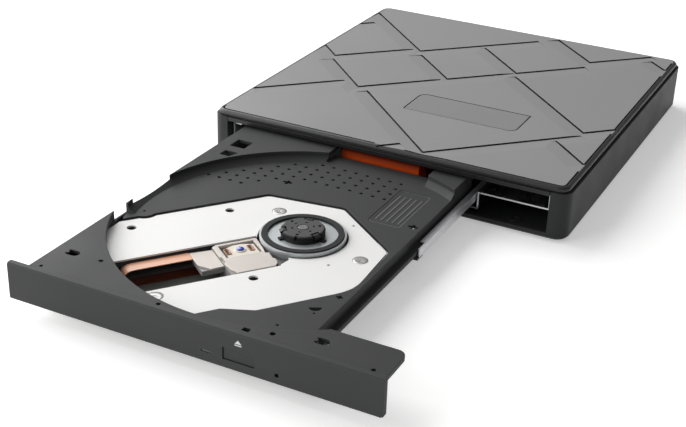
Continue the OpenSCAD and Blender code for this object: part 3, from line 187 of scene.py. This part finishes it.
def surface(name, tones, rough, metal=0.0, grain=0.1, grain_size=0.3, patch=18.0, stretch=(1, 1, 1),
            edge=0.25, coat=0.0, spread=0.08, gloss=0.5, edge_highlight=0.0, paint=None):
    """Finish with two tones in soft patches, a grain in the bump, softened edges that may take a painted
    highlight (colour made paler along them), and an optional paint on top of the tones; sizes in millimetres."""
    patch_share = 0.55
    grain_share = 0.45
    grain_depth = 0.15
    flat_part = 0.995
    sharp_part = 0.86
    # The painted edge highlight multiplies the colour's value by this much.
    highlight_tone = 4.0
    mat = bpy.data.materials.new(name)
    mat.use_nodes = True
    tree = mat.node_tree
    shader = tree.nodes["Principled BSDF"]
    shader.inputs["Metallic"].default_value = metal
    shader.inputs["Coat Weight"].default_value = coat
    shader.inputs["Coat Roughness"].default_value = 0.12
    shader.inputs["Specular IOR Level"].default_value = gloss
    place = wire(tree, "ShaderNodeTexCoord")
    scaled = wire(tree, "ShaderNodeMapping", {"Scale": stretch}, {"Vector": place.outputs["Object"]})
    vector = {"Vector": scaled.outputs["Vector"]}
    broad = wire(tree, "ShaderNodeTexNoise", {"Scale": 1 / (patch * MM), "Detail": 4}, vector)
    fine = wire(tree, "ShaderNodeTexNoise", {"Scale": 1 / (grain_size * MM), "Detail": 3}, vector)
    half = wire(tree, "ShaderNodeMath", {1: patch_share}, {0: broad.outputs["Fac"]}, operation="MULTIPLY")
    both = wire(tree, "ShaderNodeMath", {1: grain_share}, {0: fine.outputs["Fac"], 2: half.outputs[0]},
                operation="MULTIPLY_ADD")
    colour = blended(tree, both.outputs[0], tones[0], tones[1])
    if paint:
        colour = paint(tree, place.outputs["Object"], colour)
    soft = wire(tree, "ShaderNodeBevel", {"Radius": edge * MM}, samples=4)
    # Painted highlight: the colour turns paler where the softened edge normal turns from the face, standing
    # in for light caught on edges.
    if edge_highlight:
        shape = wire(tree, "ShaderNodeNewGeometry")
        along = wire(tree, "ShaderNodeVectorMath", None,
                     {0: soft.outputs["Normal"], 1: shape.outputs["True Normal"]}, operation="DOT_PRODUCT")
        highlight_share = ramp(tree, along.outputs["Value"], flat_part, sharp_part, 0, edge_highlight)
        highlighted = wire(tree, "ShaderNodeHueSaturation", {"Value": highlight_tone}, {"Color": colour})
        colour = blended(tree, highlight_share, colour, highlighted.outputs["Color"])
    tree.links.new(colour, shader.inputs["Base Color"])
    dull = ramp(tree, both.outputs[0], 0.3, 0.7, max(rough - spread, 0.02), min(rough + spread, 1))
    tree.links.new(dull, shader.inputs["Roughness"])
    bump = wire(tree, "ShaderNodeBump", {"Strength": grain, "Distance": grain_depth * grain_size * MM},
                {"Height": fine.outputs["Fac"], "Normal": soft.outputs["Normal"]})
    tree.links.new(bump.outputs["Normal"], shader.inputs["Normal"])
    return mat


def grey(low, high, tint=(1, 1, 1)):
    """Two tones of one grey, for the patches of a finish."""
    return [tuple(v * t for t in tint) for v in (low, high)]


def film_paint(turn, pitch, dark, shade_heights):
    """Paint of a flat cable: fine conductors along it, and painted shade: a dark tone that sets in between
    two heights.
    """
    wave_period = 0.31416
    stripe_edge = (0.35, 0.65)
    stripe_share = 0.12

    def paint(tree, place, colour):
        turned = wire(tree, "ShaderNodeMapping", {"Rotation": (0, 0, math.radians(turn))}, {"Vector": place})
        lines = wire(tree, "ShaderNodeTexWave", {"Scale": wave_period / (pitch * MM), "Distortion": 0.0},
                     {"Vector": turned.outputs["Vector"]}, wave_type="BANDS", bands_direction="X")
        share = ramp(tree, lines.outputs["Fac"], *stripe_edge, 0, stripe_share)
        striped = blended(tree, share, colour, dark)
        # Painted shade: the cable goes dark between the two heights, where it lies in shade.
        split = wire(tree, "ShaderNodeSeparateXYZ", None, {"Vector": place})
        deep = ramp(tree, split.outputs["Z"], shade_heights[0] * MM, shade_heights[1] * MM)
        return blended(tree, deep, striped, dark)
    return paint


def band_paint(dark, height):
    """Dark tone below a height; the hub and the cover use it as painted shade."""
    soft = 0.05

    def paint(tree, place, colour):
        split = wire(tree, "ShaderNodeSeparateXYZ", None, {"Vector": place})
        low = ramp(tree, split.outputs["Z"], (height + soft) * MM, (height - soft) * MM)
        return blended(tree, low, colour, dark)
    return paint


def cover_paint(rim, shade_tone):
    """Painted shade on the cover: a dark rounded edge all round it, dark steep walls and floors in its
    relief, and a black band below the parting.
    """
    corner = 4.0
    edge = 1.5
    soft = 0.05
    parting = 19.0
    strip_floor = 20.65
    flat_face = 0.9
    steep_face = 0.6
    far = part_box("top_cover")[1]
    inner = (far[0] - corner * MM, far[1] - corner * MM, 0)

    def vectors(tree, operation, links, inputs=None):
        return wire(tree, "ShaderNodeVectorMath", inputs, links, operation=operation)

    def paint(tree, place, colour):
        flat = vectors(tree, "MULTIPLY", {0: place}, {1: (1, 1, 0)})
        folded = vectors(tree, "ABSOLUTE", {0: flat.outputs[0]})
        past = vectors(tree, "SUBTRACT", {0: folded.outputs[0]}, {1: inner})
        outside = vectors(tree, "MAXIMUM", {0: past.outputs[0]}, {1: (0, 0, 0)})
        reach = vectors(tree, "LENGTH", {0: outside.outputs[0]})
        # Painted shade: the rounded edge outside the flat top is dark.
        near = (corner - edge) * MM
        share = ramp(tree, reach.outputs["Value"], near - soft * MM, near + soft * MM)
        # Painted shade: steep walls and the floors of the relief grooves are dark.
        shape = wire(tree, "ShaderNodeNewGeometry")
        facing = wire(tree, "ShaderNodeSeparateXYZ", None, {"Vector": shape.outputs["True Normal"]})
        steep_shade = ramp(tree, facing.outputs["Z"], flat_face, steep_face)
        groove_shaded = band_paint(shade_tone, strip_floor)(tree, place, blended(tree, steep_shade, colour, shade_tone))
        return band_paint(shade_tone, parting)(tree, place, blended(tree, share, groove_shaded, rim))
    return paint


def turned_paint(dark):
    """Fine rings about the spindle, as a lathe leaves them."""
    ring_scale = 900.0
    ring_edge = (0.2, 0.8)
    ring_share = 0.35

    def paint(tree, place, colour):
        moved = wire(tree, "ShaderNodeMapping", {"Location": (-SPINDLE[0] * MM, -SPINDLE[1] * MM, 0)},
                     {"Vector": place})
        rings = wire(tree, "ShaderNodeTexWave", {"Scale": ring_scale, "Distortion": 0.4},
                     {"Vector": moved.outputs["Vector"]}, wave_type="RINGS", rings_direction="Z")
        return blended(tree, ramp(tree, rings.outputs["Fac"], *ring_edge, 0, ring_share), colour, dark)
    return paint


def finishes():
    """Every finish of the object by name."""
    brushed = (1, 0.06, 1)
    rolled = (1, 0.03, 1)
    wound = (1, 1, 6)
    lacquer = (1.0, 0.985, 1.0)
    cool = (0.98, 1, 1.03)
    plated = (1, 0.99, 0.97)
    # Both cable paints hold painted shade: the wide cable darkens towards its top under the cover, the narrow
    # one towards its lower run.
    wide_paint = film_paint(0, 1.0, (0.06, 0.005, 0.001), (13.2, 16.2))
    narrow_paint = film_paint(-PATH_TURN - 90, 0.6, (0.13, 0.022, 0.006), (11.4, 8.8))
    # Where a finish is given paler edges, these are a painted highlight along the edges.
    return {
        "base": surface("base_plastic", grey(0.02, 0.026, (0.97, 1, 1.03)), 0.5, grain=0.3, grain_size=0.35,
                        gloss=0.25, edge_highlight=0.12),
        # The cover paint is painted shade: a dark rim, dark relief grooves and a near-black band below the
        # parting.
        "cover": surface("cover_lacquer", grey(0.278, 0.308, lacquer), 0.4, grain=0.08, grain_size=0.2,
                         patch=40, coat=0.15, edge=0.2, gloss=0.4,
                         paint=cover_paint((0.02, 0.02, 0.022), (0.004, 0.004, 0.005))),
        "badge": surface("badge_lacquer", grey(0.245, 0.275, lacquer), 0.36, grain=0.06, grain_size=0.2,
                         edge_highlight=0.2),
        "rubber": surface("black_rubber", grey(0.012, 0.02), 0.75, grain=0.3, grain_size=0.5, gloss=0.3),
        "zinc": surface("zinc_sheet", grey(0.5, 0.6, (0.98, 0.99, 1.0)), 0.3, metal=1, grain=0.12,
                        stretch=brushed, patch=6, edge=0.15),
        "screw": surface("plated_screw", grey(0.42, 0.52, plated), 0.3, metal=1, patch=3, edge=0.1),
        "pale_screw": surface("pale_screw", grey(0.42, 0.5, plated), 0.35, metal=0.6, patch=3, edge=0.1),
        "dull": surface("dull_sheet", grey(0.1, 0.14), 0.5, metal=0.7, patch=6, edge=0.15),
        "rail": surface("rolled_steel", grey(0.72, 0.8, (0.98, 0.98, 1.02)), 0.34, metal=0.55, grain=0.1,
                        stretch=rolled, patch=5, edge=0.12),
        "black": surface("black_plastic", grey(0.01, 0.015), 0.45, grain=0.15, edge=0.12, gloss=0.3),
        "board": surface("solder_resist", grey(0.012, 0.022, (0.7, 4.2, 1.6)), 0.35, patch=5, grain=0.12,
                         coat=0.3),
        "ivory": surface("ivory_plastic", grey(0.62, 0.72, (1, 0.95, 0.84)), 0.45, patch=8),
        "shell": surface("plated_shell", grey(0.6, 0.68), 0.2, metal=1, patch=3, edge=0.1),
        "film": surface("wide_film", [(0.42, 0.045, 0.003), (0.5, 0.065, 0.006)], 0.5, patch=9, grain=0.05,
                        grain_size=0.8, gloss=0.05, edge=0.05, paint=wide_paint),
        "pale_film": surface("narrow_film", [(0.82, 0.4, 0.23), (0.88, 0.48, 0.31)], 0.38, patch=9,
                             grain=0.05, grain_size=0.8, coat=0.2, edge=0.05, paint=narrow_paint),
        "tray": surface("tray_plastic", grey(0.031, 0.04, cool), 0.58, grain=0.4, grain_size=0.3, patch=25,
                        edge=0.25, gloss=0.3, edge_highlight=0.3),
        "bezel": surface("bezel_plastic", grey(0.034, 0.043, cool), 0.58, grain=0.4, grain_size=0.3, patch=25,
                         edge=0.3, gloss=0.3, edge_highlight=0.25),
        "lamp": surface("lamp_plastic", grey(0.05, 0.07), 0.2, patch=2, grain=0.03),
        "white": surface("white_paint", grey(0.84, 0.88, (1.0, 0.995, 0.975)), 0.4, grain=0.06,
                         grain_size=0.4, patch=30, edge=0.12, gloss=0.35),
        "rod": surface("ground_rod", grey(0.6, 0.68), 0.18, metal=1, patch=4, edge=0.1),
        "can": surface("motor_can", grey(0.36, 0.45, (1, 0.93, 0.8)), 0.32, metal=1, patch=4, edge=0.15),
        "platter": surface("turned_platter", grey(0.54, 0.58, (0.95, 1.0, 1.02)), 0.36, metal=0.5, patch=6,
                           grain=0.0, edge=0.2, paint=turned_paint((0.5, 0.53, 0.54))),
        "ring": surface("ring_rubber", grey(0.02, 0.027, (0.93, 1, 1.02)), 0.75, grain=0.3, grain_size=0.25,
                        edge=0.15, gloss=0.3),
        # Painted shade: the hub's sides below its top are near black.
        "hub": surface("hub_plastic", grey(0.06, 0.075), 0.6, grain=0.2, edge=0.12, gloss=0.3, edge_highlight=0.2,
                       paint=band_paint((0.008, 0.008, 0.009), 16.3)),
        "claw": surface("claw_plastic", grey(0.016, 0.022), 0.45, grain=0.15, edge=0.12, gloss=0.3, edge_highlight=0.2),
        "sled": surface("cast_sled", grey(0.3, 0.36, plated), 0.5, metal=0.3, grain=0.3, grain_size=0.4,
                        patch=6),
        "pickup": surface("warm_sheet", grey(0.54, 0.62, (1.0, 0.92, 0.85)), 0.42, metal=0.3, grain=0.05,
                          grain_size=0.3, patch=9, edge=0.2, edge_highlight=0.3),
        "copper": surface("copper_coil", [(0.34, 0.15, 0.09), (0.46, 0.23, 0.14)], 0.35, metal=0.6, patch=0.6,
                          stretch=wound),
        "yoke": surface("yoke_iron", [(0.03, 0.018, 0.012), (0.05, 0.03, 0.02)], 0.45, metal=0.4, patch=1.5),
        "cream": surface("cream_holder", grey(0.74, 0.82, (1, 0.93, 0.82)), 0.4, patch=3, edge=0.15,
                         edge_highlight=0.2),
        "lens": surface("blue_lens", [(0.03, 0.07, 0.4), (0.05, 0.1, 0.5)], 0.08, patch=1, grain=0.0,
                        coat=1.0, edge=0.02, spread=0.02),
        "mark": surface("white_mark", grey(0.72, 0.8), 0.5, patch=2, edge=0.02),
        "rib": surface("pale_rib", grey(0.09, 0.12), 0.55, patch=2, edge=0.05, edge_highlight=0.2),
        "steel": surface("plain_steel", grey(0.22, 0.27, (0.97, 1, 0.94)), 0.45, metal=0.35, patch=8,
                         grain=0.1, stretch=brushed),
    }


NODE_FINISH = {
    "base": ["base_shell", "rail_guide_left", "rail_guide_right"],
    "cover": ["top_cover"],
    "badge": ["badge_plate"],
    "rubber": ["rubber_feet", "dampers"],
    "zinc": ["case_pan", "case_lid", "spindle_base"],
    "dull": ["mechanism_frame"],
    "steel": ["bottom_plate"],
    "screw": ["cover_screws", "lid_screws", "case_screws", "bottom_screws", "latch_post", "latch_pin",
              "latch_spring", "ejector_spring"],
    "pale_screw": ["plate_screws"],
    "rail": ["rail_left", "rail_right"],
    "black": ["rail_clip_left", "rail_clip_right", "data_plug", "data_socket"],
    "board": ["drive_board", "bridge_board", "front_board"],
    "ivory": ["flex_connector", "tray_connector", "button_switch", "latch_lever", "ejector_plunger",
              "sled_nut"],
    "shell": ["usb_socket"],
    "film": ["main_flex"],
    "pale_film": ["pickup_flex"],
    "tray": ["tray_moulding"],
    "bezel": ["bezel", "eject_button"],
    "lamp": ["light_pipe"],
    "white": ["mechanism_plate"],
    "rod": ["guide_rods", "lead_screw", "spindle_shaft"],
    "can": ["sled_motor", "solenoid"],
    "platter": ["turntable"],
    "ring": ["friction_ring"],
    "hub": ["hub"],
    "claw": ["claw_1", "claw_2", "claw_3"],
    "sled": ["sled_body"],
    "pickup": ["pickup_cover", "pickup_tongue"],
    "yoke": ["yokes"],
    "cream": ["lens_holder"],
}


# Small pieces


def mechanism(x, y, z):
    """Place in the mechanism's own turned frame, in millimetres, as a place in metres."""
    turn = math.radians(PATH_TURN)
    return Vector((SPINDLE[0] + x * math.cos(turn) - y * math.sin(turn),
                   SPINDLE[1] + x * math.sin(turn) + y * math.cos(turn), z)) * MM


def piece(name, form, material, body):
    """Object from a finished bmesh that rides a body and takes a finish."""
    bmesh.ops.recalc_face_normals(form, faces=form.faces)
    mesh = bpy.data.meshes.new(name)
    form.to_mesh(mesh)
    form.free()
    mesh.materials.append(material)
    obj = bpy.data.objects.new(name, mesh)
    bpy.context.collection.objects.link(obj)
    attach(obj, body)
    return obj


def loop(form, centre, radius, z, count=32):
    """Ring of points about an upright axis; lengths in millimetres."""
    step = 2 * math.pi / count
    return [form.verts.new(((centre[0] + radius * math.cos(i * step)) * MM,
                            (centre[1] + radius * math.sin(i * step)) * MM, z * MM)) for i in range(count)]


def skin(form, low, high):
    """Faces between two rings of points."""
    count = len(low)
    ends = [(i, (i + 1) % count) for i in range(count)]
    return [form.faces.new((low[i], low[j], high[j], high[i])) for i, j in ends]


def smooth_skin(form, rings):
    """Rounded skin through rings of points."""
    for low, high in zip(rings, rings[1:]):
        for face in skin(form, low, high):
            face.smooth = True


def closed_skin(form, rims):
    """Skin through rings of points that ends where it began."""
    for low, high in zip(rims, rims[1:] + rims[:1]):
        skin(form, low, high)


def slab(form, outline, low, high):
    """Plate with a flat outline between two heights, in millimetres, its upper edge slightly drawn in."""
    edge_share = 0.25
    drawn_in = 0.97
    middle = [sum(p[k] for p in outline) / len(outline) for k in (0, 1)]
    levels = []
    for z, draw in ((low, 1.0), (high - edge_share * (high - low), 1.0), (high, drawn_in)):
        levels.append([form.verts.new(((middle[0] + (p[0] - middle[0]) * draw) * MM,
                                       (middle[1] + (p[1] - middle[1]) * draw) * MM, z * MM))
                       for p in outline])
    for a, b in zip(levels, levels[1:]):
        skin(form, a, b)
    form.faces.new(levels[0])
    form.faces.new(levels[-1])


def loose_parts(node):
    """Vertex places of each separate solid in a CAD node, in millimetres."""
    form = bmesh.new()
    form.from_mesh(node.data)
    bmesh.ops.remove_doubles(form, verts=form.verts, dist=1e-6)
    left = set(form.verts)
    parts = []
    while left:
        wave = [left.pop()]
        part = []
        while wave:
            vert = wave.pop()
            part.append(vert.co / MM)
            for link in vert.link_edges:
                other = link.other_vert(vert)
                if other in left:
                    left.remove(other)
                    wave.append(other)
        parts.append(part)
    form.free()
    return parts


def screw_form(form, points, up):
    """Screw with a dished head and a cross recess, in the place of a CAD screw with its head at one end."""
    near = 0.02
    levels = sorted({round(p.z, 2) for p in points})
    low = levels[0]
    high = levels[-1]
    neck = levels[-2] if up else levels[1]
    face = high if up else low
    tip = low if up else high
    down = -1 if up else 1
    spans = [(min(p[k] for p in points), max(p[k] for p in points)) for k in (0, 1)]
    centre = [sum(s) / 2 for s in spans]
    head = (spans[0][1] - spans[0][0]) / 2
    far = [p for p in points if abs(p.z - tip) < near]
    shank = max(math.hypot(p.x - centre[0], p.y - centre[1]) for p in far)
    thick = abs(face - neck)
    round_off = min(0.18, 0.4 * thick)
    dish = min(0.2, 0.35 * thick)
    deep = min(0.8 * thick, 0.9)
    flat = 0.6 * head
    taper = 0.7 * shank
    taper_length = 0.3
    rings = [loop(form, centre, r, z) for r, z in (
        (taper, tip), (shank, tip - down * taper_length), (shank, neck), (head, neck),
        (head, face + down * round_off), (head - round_off, face), (flat, face + down * dish))]
    smooth_skin(form, rings)
    form.faces.new(rings[0])
    long = 0.44 * head
    wide = 0.11 * head
    arms = [(long, -wide), (long, wide), (wide, wide), (wide, long), (-wide, long), (-wide, wide),
            (-long, wide), (-long, -wide), (-wide, -wide), (-wide, -long), (wide, -long), (wide, -wide)]

    def cross(share, depth):
        return [form.verts.new(((centre[0] + share * x) * MM, (centre[1] + share * y) * MM,
                                (face + down * depth) * MM)) for x, y in arms]

    rim = cross(1, dish)
    floor = cross(0.6, deep)
    skin(form, rim, floor)
    form.faces.new(floor)
    edges = []
    for ring in (rings[-1], rim):
        for i, vert in enumerate(ring):
            other = ring[(i + 1) % len(ring)]
            edges.append(form.edges.get((vert, other)) or form.edges.new((vert, other)))
    bmesh.ops.triangle_fill(form, use_beauty=True, edges=edges)


def screws(frame, finish):
    """Screws with cross recesses in place of the plain CAD ones."""
    rows = (("plate_screws", True, "tray", "pale_screw"), ("bottom_screws", False, "tray", "screw"),
            ("case_screws", False, "housing", "screw"), ("cover_screws", False, "housing", "screw"))
    for node, up, body, key in rows:
        form = bmesh.new()
        for points in loose_parts(frame["nodes"][node]):
            screw_form(form, points, up)
        obj = piece("cross_" + node, form, finish[key], body)
        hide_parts(node)


def yielding(frame, finish):
    """Copies of the flat cables and of the ejector spring, in place of the CAD parts, riding their bodies
    with their finishes.
    """
    upright = (0, 0, 1)
    along = (0, 1, 0)
    wide_bed = (0, 0, 0.00464)
    narrow_bed = (0, 0, 0.0059)
    push = 0.0101
    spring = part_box("ejector_spring")
    spring_length = spring[1][1] - spring[0][1]
    rows = (("main_flex", "film", "housing", "flex_orange", "tray_slide", upright, wide_bed, 0.006),
            ("pickup_flex", "pale_film", "tray", "flex_orange", "sled_travel", upright, narrow_bed, 0.06),
            ("ejector_spring", "screw", "tray", "screw_steel", "ejector_push", along, spring[0],
             1 - push / spring_length))
    for node, key, body, slot, joint, axis, anchor, keep in rows:
        form = bmesh.new()
        form.from_mesh(frame["nodes"][node].data)
        obj = piece("yielding_" + node, form, finish[key], body)
        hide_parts(node)
        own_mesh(obj)


def lens(finish):
    """Blue lens over the moulded dome of its holder."""
    lens_place = -22.1
    radius = 1.38
    rise = 0.62
    base = 12.79
    sunk = 0.1
    tip_radius = 0.05
    steps = 8
    form = bmesh.new()
    centre = mechanism(lens_place, 0, 0) / MM
    profile = [(radius, base - sunk)]
    profile += [(radius * math.cos(math.pi / 2 * i / steps), base + rise * math.sin(math.pi / 2 * i / steps))
                for i in range(steps)]
    profile += [(tip_radius, base + rise)]
    rings = [loop(form, centre, r, z) for r, z in profile]
    smooth_skin(form, rings)
    form.faces.new(rings[0])
    form.faces.new(rings[-1])
    piece("lens_glass", form, finish["lens"], "lens")


def rounded_loop(form, centre, half, corner, z, place=None):
    """Ring of points round a rectangle with rounded corners, in millimetres; place maps them to metres."""
    steps = 4
    ring = []
    for k, (sx, sy) in enumerate(((1, 1), (-1, 1), (-1, -1), (1, -1))):
        for j in range(steps + 1):
            turn = math.radians(90 * k + 90 * j / steps)
            x = centre[0] + sx * (half[0] - corner) + corner * math.cos(turn)
            y = centre[1] + sy * (half[1] - corner) + corner * math.sin(turn)
            ring.append(form.verts.new(place(x, y, z) if place else (x * MM, y * MM, z * MM)))
    return ring


def coils(finish):
    """Wire coils round both slots of the lens holder."""
    slots = (-26.5, -18.5)
    low = 12.4
    high = 12.72
    shoulder = high - 0.08
    outer = ((0.95, 2.0), 0.4)
    outer_top = ((0.87, 1.92), 0.34)
    inner_top = ((0.63, 1.63), 0.12)
    inner = ((0.56, 1.56), 0.08)
    form = bmesh.new()
    for x in slots:
        closed_skin(form, [rounded_loop(form, (x, 0), half, corner, z, mechanism) for (half, corner), z in (
            (outer, low), (outer, shoulder), (outer_top, high), (inner_top, high), (inner, shoulder),
            (inner, low))])
    piece("lens_coils", form, finish["copper"], "lens")


def eject_mark(finish):
    """Plain eject sign on the bezel above the button: a triangle over a bar."""
    middle = 18.6
    half = 1.15
    tip = 15.0
    foot = 13.75
    bar_low = 13.1
    bar_high = 13.45
    sunk = 0.02
    raised = 0.03
    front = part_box("bezel")[0][1] / MM
    form = bmesh.new()
    for outline in ([(-half, foot), (half, foot), (0, tip)],
                    [(-half, bar_low), (half, bar_low), (half, bar_high), (-half, bar_high)]):
        faces = []
        for y in (front + sunk, front - raised):
            faces.append([form.verts.new(((middle + x) * MM, y * MM, z * MM)) for x, z in outline])
        skin(form, faces[0], faces[1])
        for ring in faces:
            form.faces.new(ring)
    piece("eject_mark", form, finish["mark"], "tray")


def panel_ribs(finish):
    """Plain raised ribs and a thin border in the sunk panel of the tray."""
    centre = (21.45, -105.55)
    half = (6.05, 13.75)
    corner = 1.5
    border_outer = 0.25
    border_inner = 0.55
    rows = 5
    pitch = 2.1
    rib_half = 0.28
    floor = 13.2
    sunk = floor - 0.05
    rib_top = floor + 0.12
    border_top = floor + 0.14
    front = centre[1] - 11
    back = centre[1] + 9.5
    form = bmesh.new()
    for i in range(rows):
        x = centre[0] + (i - (rows - 1) / 2) * pitch
        slab(form, [(x - rib_half, front), (x + rib_half, front), (x + rib_half, back), (x - rib_half, back)],
             sunk, rib_top)
    closed_skin(form, [rounded_loop(form, centre, [h - inset for h in half], corner - inset, z)
                       for inset, z in ((border_outer, sunk), (border_outer, border_top),
                                        (border_inner, border_top), (border_inner, sunk))])
    piece("panel_ribs", form, finish["rib"], "tray")


def main():
    """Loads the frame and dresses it."""
    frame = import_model()
    camera()
    studio()
    finish = finishes()
    for key, names in NODE_FINISH.items():
        for name in names:
            data = frame["nodes"][name].data
            data.materials.clear()
            data.materials.append(finish[key])
    screws(frame, finish)
    yielding(frame, finish)
    lens(finish)
    coils(finish)
    eject_mark(finish)
    panel_ribs(finish)


main()
